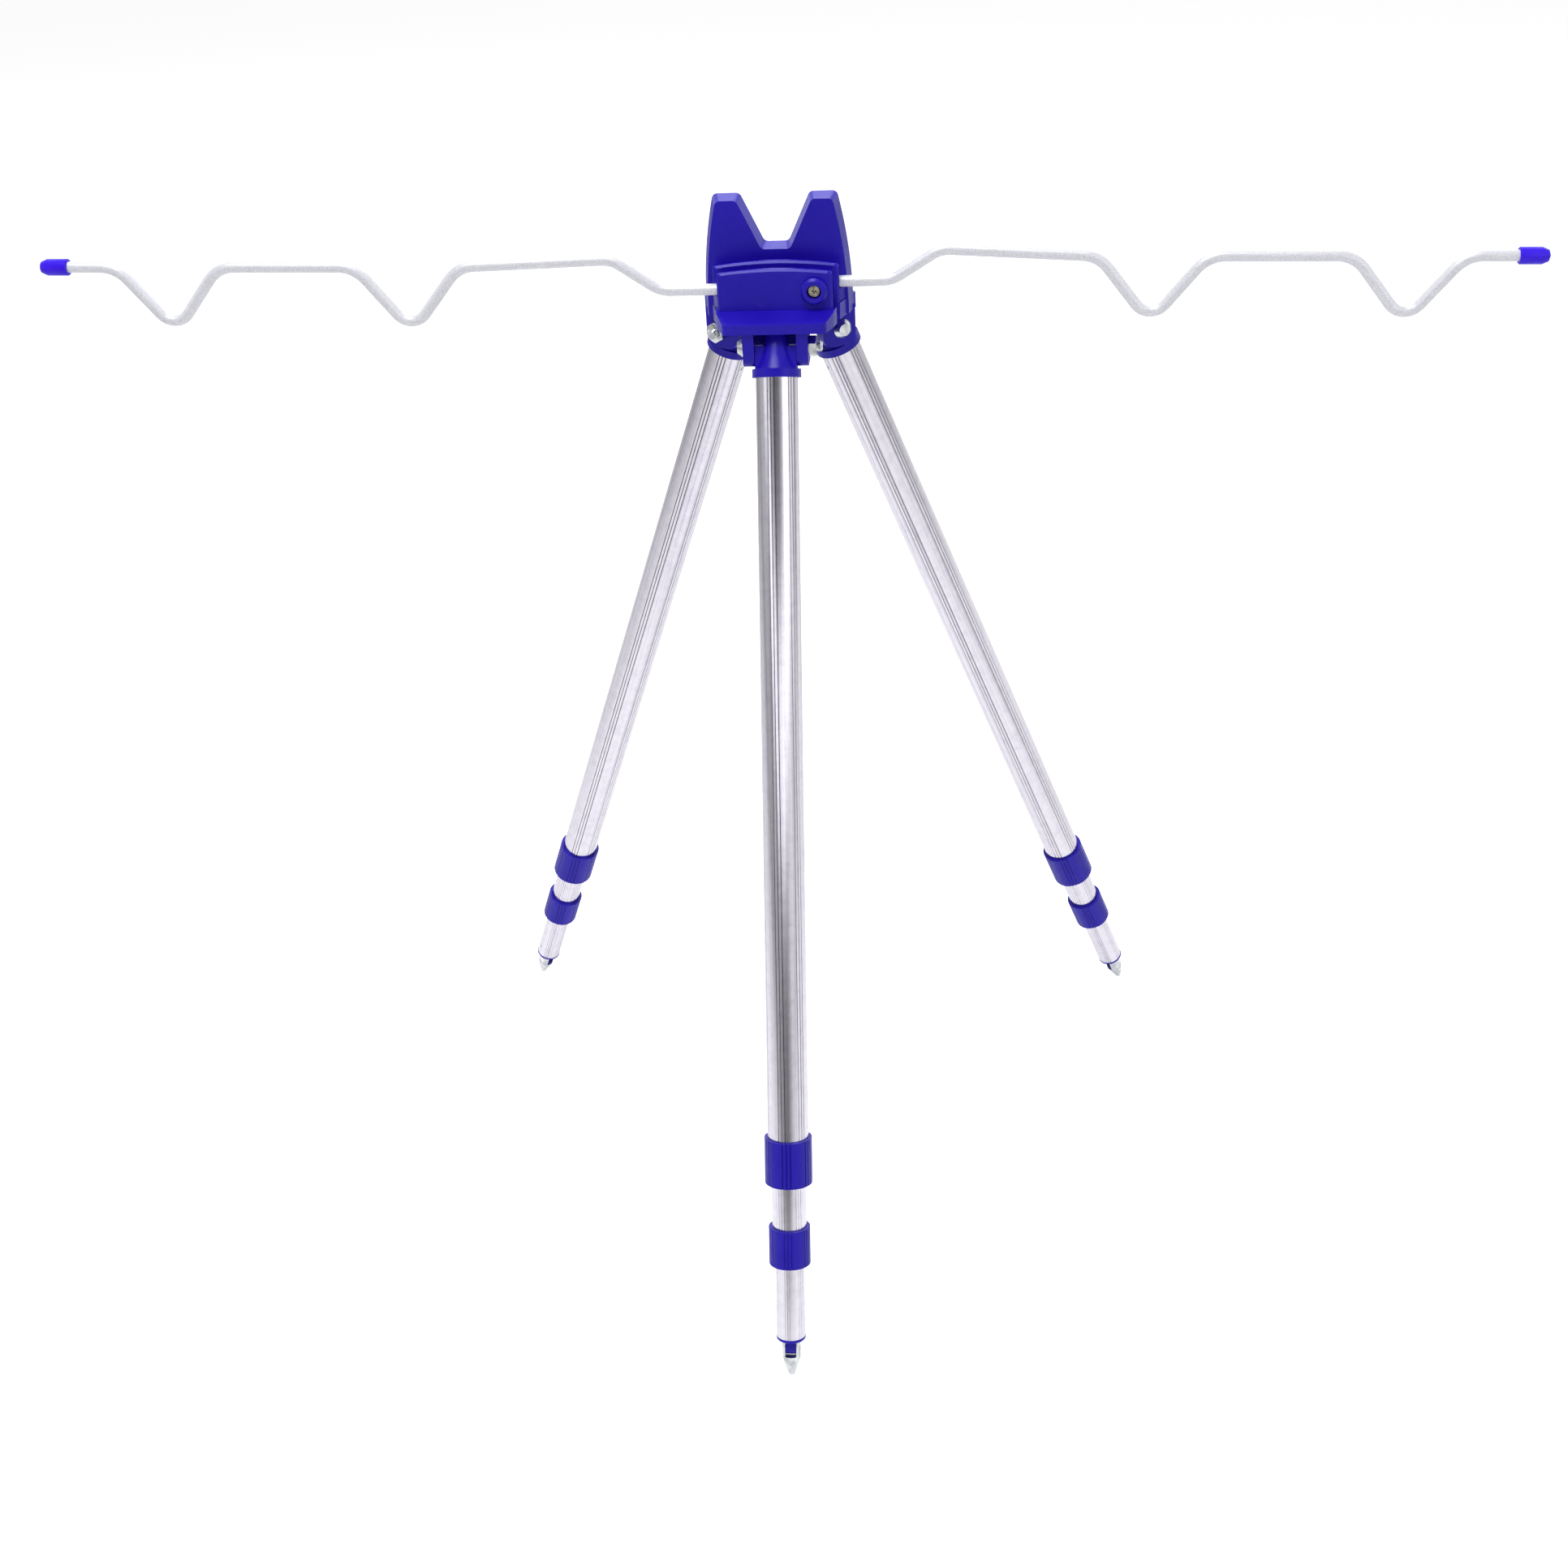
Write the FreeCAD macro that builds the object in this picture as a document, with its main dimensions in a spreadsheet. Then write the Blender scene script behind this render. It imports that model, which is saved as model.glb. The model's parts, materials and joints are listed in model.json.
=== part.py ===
import FreeCAD, Part
import math
import os
import re
import Sketcher

# Surf rod tripod: a moulded fork head on three telescopic legs, with two bent rod arms.
# Millimetres. The hub frame has Z up, its origin on the hub axis at the height of the leg
# bolts, and the front leg towards -Y. At the end everything is shifted so that the origin
# is the middle of the footprint on the ground.

SIZES = {
    "head": {
        "deck_bottom": 9.6,
        "deck_top": 18.1,
        "deck_edge_top": 14.8,
        "deck_front": 38.0,
        "deck_front_half": 26.3,
        "deck_corner_half": 30.3,
        "deck_corner_back": 27.0,
        "deck_rear": 33.5,
        "deck_rear_half": 22.5,
        "deck_corner_round": 3.0,
        "deck_side_half": 40.2,
        "deck_side_back": 6.0,
        "front_wall_thick": 3.0,
        "front_wall_half": 29.8,
        "front_wall_shoulder": 38.2,
        "front_wall_crown_radius": 235.0,
        "mid_wall_thick": 3.0,
        "mid_wall_half": 32.9,
        "mid_wall_shoulder": 39.3,
        "mid_wall_crown_radius": 218.0,
        "wall_corner_round": 2.0,
        "wall_lip": 1.0,
        "ramp_corner": 3.3,
        "underside_radius": 16.5,
        "underside_skin": 3.2,
        "underside_rib": 1.8,
    },
    "fork": {
        "fork_depth": 8.9,
        "fork_behind": 4.0,
        "fork_top": 72.9,
        "fork_foot_half": 39.1,
        "fork_side_radius": 260.0,
        "fork_top_outer": 32.3,
        "fork_top_inner": 18.2,
        "notch_floor": 47.1,
        "notch_half": 6.3,
        "fork_inset": 2.0,
        "fork_corner_round": 3.2,
        "fork_skin": 2.6,
        "fork_core_wall": 2.8,
        "fork_core_bottom": 21.0,
        "fork_rib": 1.8,
        "fork_rib_height": 40.0,
    },
    "arm pivots": {
        "arm_height": 28.2,
        "arm_pivot": 20.5,
        "arm_side_gap": 0.3,
        "arm_floor_gap": 0.2,
        "arm_eye_radius": 5.0,
        "arm_eye_gap": 0.6,
        "boss_radius": 7.0,
        "boss_height": 3.0,
        "boss_bevel": 1.2,
        "screw_radius": 2.0,
        "screw_gap": 0.05,
        "screw_head_radius": 3.5,
        "screw_head_height": 2.4,
        "screw_head_gap": 0.2,
        "screw_seat": 1.7,
        "screw_head_bevel": 0.6,
        "screw_end_gap": 0.2,
    },
    "arms": {
        "rod_radius": 3.0,
        "rise_start": 60.0,
        "rise_end": 85.0,
        "first_crest": 16.5,
        "outer_crest": 12.6,
        "dip_drop": 35.0,
        "dip_half": 27.6,
        "first_dip": 193.4,
        "second_dip": 322.0,
        "rod_end": 386.5,
        "rise_bend": 16.0,
        "crest_bend": 18.0,
        "dip_bend": 9.4,
        "left_lift": 1.35,
        "right_lift": -1.35,
        "cap_radius": 4.45,
        "cap_length": 15.8,
        "cap_bore_gap": 0.05,
        "cap_lip": 0.5,
    },
    "clevises": {
        "bolt_circle": 28.3,
        "clevis_half_gap": 11.0,
        "ear_thick": 5.9,
        "ear_inner": 17.0,
        "ear_outer": 36.3,
        "ear_bottom": 9.5,
        "ear_round": 5.5,
        "clevis_web": 2.4,
        "clevis_web_bottom": 2.0,
    },
    "leg bolts": {
        "bolt_radius": 3.0,
        "bolt_gap": 0.05,
        "bolt_head_radius": 5.25,
        "bolt_head_height": 3.3,
        "bolt_head_edge": 0.6,
        "bolt_head_bevel": 2.0,
        "nut_flats": 10.0,
        "nut_height": 4.2,
        "bolt_tail": 3.1,
    },
    "leg caps": {
        "cap_top": 6.8,
        "cap_top_radius": 6.0,
        "cap_waist_radius": 7.6,
        "cap_bell": 0.6,
        "cap_shoulder_radius": 11.3,
        "cap_tongue_half": 5.2,
        "cap_side_gap": 0.2,
        "flange_top": 11.6,
        "flange_radius": 12.8,
        "flange_height": 4.4,
        "cap_spigot": 20.0,
    },
    "legs": {
        "leg_tilt": 22.0,
        "upper_radius": 11.0,
        "mid_radius": 9.25,
        "lower_radius": 7.75,
        "tube_wall": 1.0,
        "tube_groove": 0.3,
        "tube_groove_angle": 9.5,
        "upper_groove_turn": 47.0,
        "mid_groove_turn": 38.0,
        "lower_groove_turn": 52.0,
        "mid_top_gap": 6.0,
        "lower_top_gap": 4.0,
        "upper_collar_middle": 432.6,
        "lower_collar_middle": 479.6,
        "lower_tube_end": 530.2,
    },
    "collars": {
        "upper_collar_radius": 12.8,
        "upper_collar_length": 24.8,
        "lower_collar_radius": 11.2,
        "lower_collar_length": 20.5,
        "collar_run_gap": 0.08,
        "collar_groove": 0.45,
        "collar_groove_angle": 10.0,
        "collar_foot": 1.6,
        "collar_mouth_gap": 0.35,
        "collar_end_gap": 0.2,
        "grip_height": 5.0,
        "grip_run_gap": 0.08,
        "grip_split": 1.6,
    },
    "bushes": {
        "bush_height": 14.0,
        "bush_lip": 1.6,
        "bush_run_gap": 0.08,
    },
    "feet": {
        "plug_spigot": 16.0,
        "plug_flange_radius": 7.9,
        "plug_flange": 2.0,
        "plug_chamfer": 0.8,
        "tongue_half": 2.9,
        "tongue_width": 6.4,
        "pin_drop": 7.2,
        "pin_radius": 1.5,
        "pin_gap": 0.05,
        "spike_slot_gap": 0.15,
        "spike_radius": 5.0,
        "spike_slot_floor_gap": 0.5,
        "spike_rim": 1.0,
        "spike_ear_straight": 2.0,
        "spike_ear_top": 4.0,
        "spike_ear_chamfer": 1.4,
        "spike_cone": 9.6,
        "spike_tip_radius": 1.7,
    },
}

GROOVES_IN_GROUP = (-1, 0, 1)
GROOVE_GROUPS = 6
ARM_SIDES = {"left": -1, "right": 1}
LEG_TURNS = {"front": 0, "right": 120, "left": 240}

doc = FreeCAD.newDocument("SurfRodTripod")
sheet = doc.addObject("Spreadsheet::Sheet", "Sizes")
names = set()


def fill_sheet():
    row = 1
    for group, values in SIZES.items():
        sheet.set(f"A{row}", group)
        row += 1
        for name, size in values.items():
            sheet.set(f"A{row}", name)
            sheet.set(f"B{row}", str(size))
            sheet.setAlias(f"B{row}", name)
            names.add(name)
            row += 1
    doc.recompute()


# A formula is written with the sheet's plain names, and this adds the sheet's own name.
def formula(text):
    return re.sub(r"[a-z_]+", lambda word: f"Sizes.{word[0]}" if word[0] in names else word[0], text)


def value(text):
    return float(sheet.evalExpression(formula(text)))


def bind(feature, **sizes):
    for name, text in sizes.items():
        feature.setExpression(name.replace("__", "."), formula(text))


def new_body(label):
    body = doc.addObject("PartDesign::Body", label)
    body.Label = label
    return body


def new_sketch(body, role, offset=None):
    sketch = body.newObject("Sketcher::SketchObject", "Sketch")
    plane = next(item for item in body.Origin.OriginFeatures if item.Role == role)
    sketch.AttachmentSupport = [(plane, "")]
    sketch.MapMode = "FlatFace"
    if offset:
        bind(sketch, AttachmentOffset__Base__z=offset)
    return sketch


# A closed outline through corners given as pairs of formulas, anticlockwise. A third
# formula is the radius of an outward arc from that corner to the next.
def outline(sketch, corners):
    first = sketch.GeometryCount
    points = [FreeCAD.Vector(value(corner[0]), value(corner[1]), 0) for corner in corners]
    ends = points[1:] + points[:1]
    for corner, start, end in zip(corners, points, ends):
        if len(corner) > 2:
            sketch.addGeometry(outward_arc(start, end, value(corner[2])))
        else:
            sketch.addGeometry(Part.LineSegment(start, end))
    for index, corner in enumerate(corners):
        edge = first + index
        following = first + (index + 1) % len(corners)
        sketch.addConstraint(Sketcher.Constraint("Coincident", edge, 2, following, 1))
        pin(sketch, "DistanceX", (-1, 1, edge, 1), corner[0])
        pin(sketch, "DistanceY", (-1, 1, edge, 1), corner[1])
        if len(corner) > 2:
            pin(sketch, "Radius", (edge,), corner[2])


def pin(sketch, kind, places, text):
    number = sketch.addConstraint(Sketcher.Constraint(kind, *places, value(text)))
    sketch.setExpression(f"Constraints[{number}]", formula(text))


def outward_arc(start, end, radius):
    chord = end - start
    middle = (start + end) / 2
    inward = FreeCAD.Vector(-chord.y, chord.x, 0).normalize()
    centre = middle + inward * (radius ** 2 - (chord.Length / 2) ** 2) ** 0.5
    circle = Part.Circle(centre, FreeCAD.Vector(0, 0, 1), radius)
    return Part.ArcOfCircle(circle, circle.parameter(start), circle.parameter(end))


def circle(sketch, across, up, radius):
    centre = FreeCAD.Vector(value(across), value(up), 0)
    number = sketch.addGeometry(Part.Circle(centre, FreeCAD.Vector(0, 0, 1), value(radius)))
    pin(sketch, "DistanceX", (-1, 1, number, 3), across)
    pin(sketch, "DistanceY", (-1, 1, number, 3), up)
    pin(sketch, "Radius", (number,), radius)


def rectangle(sketch, left, bottom, right, top):
    outline(sketch, [(left, bottom), (right, bottom), (right, top), (left, top)])


def pad(body, sketch, length, **options):
    feature = body.newObject("PartDesign::Pad", "Pad")
    return swept(feature, sketch, length, options)


def pocket(body, sketch, length, **options):
    feature = body.newObject("PartDesign::Pocket", "Pocket")
    return swept(feature, sketch, length, options)


def swept(feature, sketch, length, options):
    feature.Profile = sketch
    bind(feature, Length=length)
    for name, setting in options.items():
        setattr(feature, name, setting)
    return feature


def revolve(body, sketch):
    feature = body.newObject("PartDesign::Revolution", "Revolution")
    feature.Profile = sketch
    feature.ReferenceAxis = (sketch, ["V_Axis"])
    feature.Angle = 360
    return feature


def turned(label, corners):
    body = new_body(label)
    sketch = new_sketch(body, "XZ_Plane")
    outline(sketch, corners)
    revolve(body, sketch)
    return body


# Rounds or bevels the edges of the newest feature that pass a test.
def dress(body, kind, radius, test):
    doc.recompute()
    tip = body.Tip
    edges = [f"Edge{n}" for n, edge in enumerate(tip.Shape.Edges, 1) if test(edge)]
    if not edges:
        raise ValueError(f"{body.Label}: no edge to dress")
    feature = body.newObject(f"PartDesign::{kind}", kind)
    feature.Base = (tip, edges)
    bind(feature, **{"Radius" if kind == "Fillet" else "Size": radius})
    return feature


def along(edge, direction):
    if edge.Curve.TypeId != "Part::GeomLine":
        return False
    return abs(edge.Curve.Direction.dot(FreeCAD.Vector(*direction))) > 0.9


def middle_of(edge):
    return edge.BoundBox.Center


# Distances in front of the hub axis of the head's faces, from the fork forwards.
SLOT = "(2 * rod_radius + 2 * arm_side_gap)"
FORK_FRONT = "(fork_depth - fork_behind)"
MID_BACK = f"({FORK_FRONT} + {SLOT})"
MID_FRONT = f"({MID_BACK} + mid_wall_thick)"
FRONT_BACK = f"({MID_FRONT} + {SLOT})"
FRONT_FACE = f"({FRONT_BACK} + front_wall_thick)"
ARM_DEPTHS = {"left": f"({FRONT_BACK} - {SLOT} / 2)", "right": f"({MID_BACK} - {SLOT} / 2)"}
SLOT_FLOOR = "(arm_height - rod_radius - arm_floor_gap)"
NOTCH_MITRE = "tan(atan((fork_top - notch_floor) / (fork_top_inner - notch_half)) / 2)"
EYE_CLEAR = "(arm_pivot - arm_eye_radius - arm_eye_gap)"


def head_body():
    body = new_body("head_body")
    deck(body)
    slot_floors(body)
    wall(body, MID_BACK, "mid_wall_thick", "mid_wall_half", "mid_wall_shoulder", "mid_wall_crown_radius")
    wall(body, FRONT_BACK, "front_wall_thick", "front_wall_half", "front_wall_shoulder",
         "front_wall_crown_radius")
    fork_plate(body)
    arm_ways(body)
    fork_core(body)
    screw_bosses(body)
    underside(body)
    clevises(body)
    return body


def deck(body):
    plan = new_sketch(body, "XY_Plane", "deck_bottom")
    half = [
        ("deck_front_half", "-deck_front"),
        ("deck_corner_half", "-deck_corner_back"),
        ("mid_wall_half", f"-{MID_FRONT}"),
        ("fork_foot_half", "fork_behind"),
        ("deck_side_half", "deck_side_back"),
        ("deck_rear_half", "deck_rear"),
    ]
    outline(plan, half + [(f"-{across}", back) for across, back in reversed(half)])
    pad(body, plan, "deck_top - deck_bottom")
    slope = new_sketch(body, "YZ_Plane")
    outline(slope, [
        (f"-{FRONT_FACE}", "deck_top"),
        ("-deck_front - deck_top", "deck_top + deck_front"),
        ("-deck_front - deck_top", "deck_edge_top - (deck_top - deck_edge_top)"
         f" * deck_top / (deck_front - {FRONT_FACE})"),
    ])
    pocket(body, slope, "4 * deck_side_half", Midplane=True)
    dress(body, "Fillet", "deck_corner_round",
          lambda edge: along(edge, (0, 0, 1)) and middle_of(edge).y < -value(FRONT_FACE))


# The floors that the two rods rest on, each under the side where its rod leaves the head.
def slot_floors(body):
    plan = new_sketch(body, "XY_Plane", "deck_bottom")
    outline(plan, [
        ("-front_wall_half", f"-{FRONT_BACK}"),
        (EYE_CLEAR, f"-{FRONT_BACK}"),
        (EYE_CLEAR, f"-{MID_FRONT}"),
        ("-mid_wall_half", f"-{MID_FRONT}"),
    ])
    outline(plan, [
        (f"-{EYE_CLEAR}", f"-{MID_BACK}"),
        ("mid_wall_half", f"-{MID_BACK}"),
        ("fork_foot_half - ramp_corner", f"-{FORK_FRONT}"),
        (f"-{EYE_CLEAR}", f"-{FORK_FRONT}"),
    ])
    pad(body, plan, f"{SLOT_FLOOR} - deck_bottom")


def wall(body, back, thick, half, shoulder, crown):
    face = new_sketch(body, "XZ_Plane", back)
    outline(face, wall_outline(half, shoulder, crown))
    pad(body, face, f"{thick} - wall_lip")
    wide = new_sketch(body, "XZ_Plane", f"{back} + {thick} - wall_lip")
    outline(wide, wall_outline(half, shoulder, crown))
    narrow = new_sketch(body, "XZ_Plane", f"{back} + {thick}")
    outline(narrow, wall_outline(f"({half} - wall_lip)", f"({shoulder} - wall_lip)", crown))
    bevelled(body, wide, narrow)


def wall_outline(half, shoulder, crown):
    return [
        (f"-{half}", "deck_bottom"),
        (half, "deck_bottom"),
        (half, f"{shoulder} - wall_corner_round", "wall_corner_round"),
        (f"{half} - wall_corner_round", shoulder, crown),
        (f"-{half} + wall_corner_round", shoulder, "wall_corner_round"),
        (f"-{half}", f"{shoulder} - wall_corner_round"),
    ]


# Straight sides from one outline to a smaller one in front of it.
def bevelled(body, wide, narrow):
    loft = body.newObject("PartDesign::AdditiveLoft", "Loft")
    loft.Profile = wide
    loft.Sections = [narrow]
    loft.Ruled = True


def fork_outline(inset, foot="deck_bottom"):
    half = [
        (f"fork_foot_half - {inset}", foot, "fork_side_radius"),
        (f"fork_top_outer - {inset}", f"fork_top - {inset}"),
        (f"fork_top_inner + {inset} * {NOTCH_MITRE}", f"fork_top - {inset}"),
        (f"notch_half + {inset} * {NOTCH_MITRE}", f"notch_floor - {inset}"),
    ]
    mirrored = [(f"-({across})", up) for across, up, *radius in reversed(half)]
    mirrored[2] += ("fork_side_radius",)
    return half + mirrored


def fork_plate(body):
    back = new_sketch(body, "XZ_Plane", "-fork_behind")
    outline(back, fork_outline("0"))
    front = new_sketch(body, "XZ_Plane", FORK_FRONT)
    outline(front, fork_outline("fork_inset"))
    bevelled(body, back, front)
    dress(body, "Fillet", "fork_corner_round",
          lambda edge: edge.BoundBox.YLength > value("fork_depth") - 0.1
          and middle_of(edge).z > value("notch_floor") - value("fork_inset"))


# Each rod's slot is open to the ground beyond its pivot, so the rod can swing over and hang.
def arm_ways(body):
    plan = new_sketch(body, "XY_Plane", "fork_top")
    rectangle(plan, EYE_CLEAR, f"-{FRONT_BACK}", "2 * deck_side_half", f"-{MID_FRONT}")
    rectangle(plan, "-2 * deck_side_half", f"-{MID_BACK}", f"-{EYE_CLEAR}", f"-{FORK_FRONT}")
    pocket(body, plan, "fork_top", Type="ThroughAll")


def fork_core(body):
    back = new_sketch(body, "XZ_Plane", "-fork_behind")
    outline(back, fork_outline("fork_core_wall", "fork_core_bottom"))
    pocket(body, back, "fork_depth - fork_skin", Reversed=True)
    ribs = new_sketch(body, "XZ_Plane", "-fork_behind")
    rectangle(ribs, "-fork_foot_half + fork_core_wall", "fork_rib_height - fork_rib / 2",
              "fork_foot_half - fork_core_wall", "fork_rib_height + fork_rib / 2")
    pad(body, ribs, "fork_depth - fork_skin")
    spine = new_sketch(body, "XZ_Plane", "-fork_behind")
    rectangle(spine, "-fork_rib / 2", "deck_bottom", "fork_rib / 2", "notch_floor - fork_core_wall / 2")
    pad(body, spine, "fork_depth - fork_skin")


# The left arm's screw goes in from the front, the right arm's from the back, and both end
# in the middle wall.
def screw_bosses(body):
    front = new_sketch(body, "XZ_Plane", FRONT_FACE)
    circle(front, "arm_pivot", "arm_height", "boss_radius")
    pad(body, front, "boss_height")
    face = -value(f"{FRONT_FACE} + boss_height")
    dress(body, "Chamfer", "boss_bevel", lambda edge: abs(edge.BoundBox.YMin - face) < 0.01
          and edge.BoundBox.YLength < 0.01)
    back = new_sketch(body, "XZ_Plane", "-fork_behind")
    circle(back, "-arm_pivot", "arm_height", "boss_radius")
    pad(body, back, "fork_depth - fork_skin")
    bore(body, f"{FRONT_FACE} + boss_height", "arm_pivot", False,
         "boss_height + front_wall_thick - screw_seat", f"{FRONT_FACE} + boss_height - {MID_BACK}")
    bore(body, "-fork_behind", "-arm_pivot", True,
         "fork_depth - screw_seat", f"fork_behind + {MID_FRONT}")


def bore(body, offset, across, from_back, head_depth, whole_depth):
    for radius, depth in (("screw_head_radius + screw_head_gap", head_depth),
                          ("screw_radius + screw_gap", whole_depth)):
        hole = new_sketch(body, "XZ_Plane", offset)
        circle(hole, across, "arm_height", radius)
        pocket(body, hole, depth, Reversed=from_back)


# The deck is cored from below, between the clevises, with a rib towards each of them.
def underside(body):
    plan = new_sketch(body, "XY_Plane", "deck_bottom")
    circle(plan, "0", "0", "underside_radius")
    pocket(body, plan, "deck_top - deck_bottom - underside_skin", Reversed=True)
    for turn in LEG_TURNS.values():
        rib = new_sketch(body, "XY_Plane", "deck_bottom")
        outline(rib, [
            along_way(turn, across, out)
            for across, out in (("-underside_rib / 2", "0"), ("-underside_rib / 2", "underside_radius"),
                                ("underside_rib / 2", "underside_radius"), ("underside_rib / 2", "0"))
        ])
        pad(body, rib, "deck_top - deck_bottom - underside_skin")


# A point that lies out from the axis and across, turned from the front by an angle.
def along_way(turn, across, out):
    return (f"({out}) * sin({turn}) + ({across}) * cos({turn})",
            f"({across}) * sin({turn}) - ({out}) * cos({turn})")


# Each clevis is two ears with a web across their inner edges.
def clevises(body):
    first = []
    for place in ("clevis_half_gap", "-clevis_half_gap - ear_thick"):
        side = new_sketch(body, "YZ_Plane", place)
        outline(side, [
            ("-ear_outer", "(deck_bottom + deck_edge_top) / 2"),
            ("-ear_outer", "ear_round - ear_bottom", "ear_round"),
            ("ear_round - ear_outer", "-ear_bottom"),
            ("-ear_inner - ear_round", "-ear_bottom", "ear_round"),
            ("-ear_inner", "ear_round - ear_bottom"),
            ("-ear_inner", "(deck_bottom + deck_edge_top) / 2"),
        ])
        first.append(pad(body, side, "ear_thick"))
    web = new_sketch(body, "YZ_Plane")
    rectangle(web, "-ear_inner - clevis_web", "-clevis_web_bottom", "-ear_inner",
              "(deck_bottom + deck_edge_top) / 2")
    first.append(pad(body, web, "2 * (clevis_half_gap + ear_thick)", Midplane=True))
    hole = new_sketch(body, "YZ_Plane")
    circle(hole, "-bolt_circle", "0", "bolt_radius + bolt_gap")
    first.append(pocket(body, hole, "2 * (clevis_half_gap + 2 * ear_thick)", Midplane=True))
    doc.recompute()
    repeat_around(body, first, len(LEG_TURNS))


def repeat_around(body, features, count):
    pattern = body.newObject("PartDesign::PolarPattern", "Pattern")
    pattern.Originals = features
    pattern.Axis = (next(item for item in body.Origin.OriginFeatures if item.Role == "Z_Axis"), [""])
    pattern.Angle = 360
    pattern.Occurrences = count
    body.Tip = pattern


# Each leg is drawn hanging straight down, with Z up the leg and its origin on the bolt.
FLANGE_END = "(flange_top + flange_height)"
SPIGOT_END = f"({FLANGE_END} + cap_spigot)"
MID_TOP = f"({SPIGOT_END} + mid_top_gap)"
LOWER_TOP = f"({MID_TOP} + lower_top_gap)"
UPPER_COLLAR_END = "(upper_collar_middle + upper_collar_length / 2)"
LOWER_COLLAR_END = "(lower_collar_middle + lower_collar_length / 2)"
UPPER_END = f"({UPPER_COLLAR_END} - collar_foot - grip_height - collar_end_gap)"
MID_END = f"({LOWER_COLLAR_END} - collar_foot - grip_height - collar_end_gap)"
PLUG_END = "(lower_tube_end + plug_flange)"
PIN = "(lower_tube_end + pin_drop)"
SPIKE_RIM = f"({PIN} + tongue_width / 2 + spike_slot_floor_gap)"
TIP = f"({SPIKE_RIM} + spike_rim + spike_cone)"
EAR_FACE = "(clevis_half_gap + ear_thick)"


def pivot_bolt():
    return turned("pivot_bolt", [
        ("0", f"-{EAR_FACE} - bolt_head_height"),
        ("bolt_head_radius - bolt_head_bevel", f"-{EAR_FACE} - bolt_head_height"),
        ("bolt_head_radius", f"-{EAR_FACE} - bolt_head_edge"),
        ("bolt_head_radius", f"-{EAR_FACE}"),
        ("bolt_radius", f"-{EAR_FACE}"),
        ("bolt_radius", f"{EAR_FACE} + nut_height + bolt_tail"),
        ("0", f"{EAR_FACE} + nut_height + bolt_tail"),
    ])


def pivot_nut():
    body = new_body("pivot_nut")
    plan = new_sketch(body, "XY_Plane", EAR_FACE)
    point = "nut_flats / 2 / cos(30)"
    outline(plan, [(f"{point} * cos({turn})", f"{point} * sin({turn})") for turn in range(0, 360, 60)])
    circle(plan, "0", "0", "bolt_radius")
    pad(body, plan, "nut_height")
    return body


def leg_cap():
    body = turned("leg_cap", [
        ("0", f"-{SPIGOT_END}"),
        ("upper_radius - tube_wall", f"-{SPIGOT_END}"),
        ("upper_radius - tube_wall", f"-{FLANGE_END}"),
        ("flange_radius", f"-{FLANGE_END}"),
        ("flange_radius", "-flange_top"),
        ("cap_shoulder_radius", "-flange_top"),
        ("(cap_shoulder_radius + cap_waist_radius) / 2 - cap_bell", "-flange_top / 2"),
        ("cap_waist_radius", "0"),
        ("cap_top_radius", "cap_top"),
        ("0", "cap_top"),
    ])
    tongue = new_sketch(body, "YZ_Plane")
    outline(tongue, [
        ("-cap_tongue_half", "-flange_top"),
        ("-cap_tongue_half", "0", "cap_tongue_half"),
        ("0", "cap_tongue_half", "cap_tongue_half"),
        ("cap_tongue_half", "0"),
        ("cap_tongue_half", "-flange_top"),
    ])
    pad(body, tongue, "2 * (clevis_half_gap - cap_side_gap)", Midplane=True)
    hole = new_sketch(body, "YZ_Plane")
    circle(hole, "0", "0", "bolt_radius + bolt_gap")
    pocket(body, hole, f"2 * {EAR_FACE}", Midplane=True)
    return body


def tube(label, radius, top, end, turn):
    body = new_body(label)
    ring(body, radius, f"{radius} - tube_wall", f"-{end}", f"{end} - {top}")
    grooves(body, radius, top, end, turn, "tube_groove", "tube_groove_angle")
    return body


def ring(body, radius, hole, height, tall):
    section = new_sketch(body, "XY_Plane", height)
    circle(section, "0", "0", radius)
    circle(section, "0", "0", hole)
    pad(body, section, tall)


# Groups of fine grooves along a tube or collar, evenly spaced around it.
def grooves(body, radius, top, end, turn, depth, angle):
    section = new_sketch(body, "XY_Plane", f"-{end}")
    for place in GROOVES_IN_GROUP:
        way = f"({turn} + {place} * {angle})"
        outline(section, [
            along_way(way, across, out)
            for across, out in ((f"-{depth}", f"{radius} + {depth} / 2"), (depth, f"{radius} + {depth} / 2"),
                                ("0", f"{radius} - {depth}"))
        ])
    cut = pocket(body, section, f"{end} - {top}", Reversed=True)
    doc.recompute()
    repeat_around(body, [cut], GROOVE_GROUPS)


def collar(label, radius, length, end, outer_tube, inner_tube):
    start = f"({end} - {length})"
    bore_radius = f"({outer_tube} + collar_run_gap)"
    mouth = f"({inner_tube} + collar_mouth_gap)"
    body = turned(label, [
        (mouth, f"-{end}"),
        (radius, f"-{end}"),
        (radius, f"-{start}"),
        (bore_radius, f"-{start}"),
        (bore_radius, f"collar_foot - {end}"),
        (mouth, f"collar_foot - {end}"),
    ])
    grooves(body, radius, start, end, "0", "collar_groove", "collar_groove_angle")
    return body


# The split end of a tube, which its collar squeezes onto the tube inside it.
def grip_end(body, end, outer_tube, inner_tube):
    ring(body, f"{outer_tube} - grip_run_gap", f"{inner_tube} + grip_run_gap", f"-{end} - grip_height",
         "grip_height")
    split = new_sketch(body, "XY_Plane", f"-{end}")
    rectangle(split, "-grip_split / 2", "0", "grip_split / 2", outer_tube)
    pocket(body, split, "grip_height")


# The bush on top of a sliding tube, which runs inside the tube around it.
def guide_bush(body, top, outer_tube, inner_tube):
    ring(body, f"{outer_tube} - tube_wall - bush_run_gap", f"{inner_tube} - tube_wall",
         f"-{top} - bush_height", "bush_height + bush_lip")


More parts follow.
